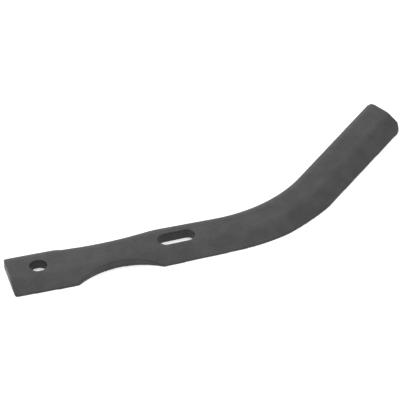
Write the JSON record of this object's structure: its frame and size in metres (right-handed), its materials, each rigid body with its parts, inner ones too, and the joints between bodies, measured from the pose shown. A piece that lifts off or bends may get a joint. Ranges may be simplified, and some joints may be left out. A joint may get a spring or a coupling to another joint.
{
  "type": "rotary tiller blade",
  "caption": "Flat steel tiller blade bent edgewise, with a bevelled cutting edge, a rounded spine, a bolt hole, an adjusting slot and a round clearance notch in the shank.",
  "frame": {"origin": "centre of the bolt hole on the flat underside", "axes": "+X along the shank from the bolt hole to the adjusting slot, +Y towards the rounded spine, +Z from the flat underside to the bevelled upper face"},
  "size_m": [0.3238, 0.1384, 0.008],
  "materials": {
    "blade_steel": "black, semi-matt coat over a forged surface"
  },
  "bodies": {
    "root": {"tiller_blade": "blade_steel"}
  },
  "joints": []
}
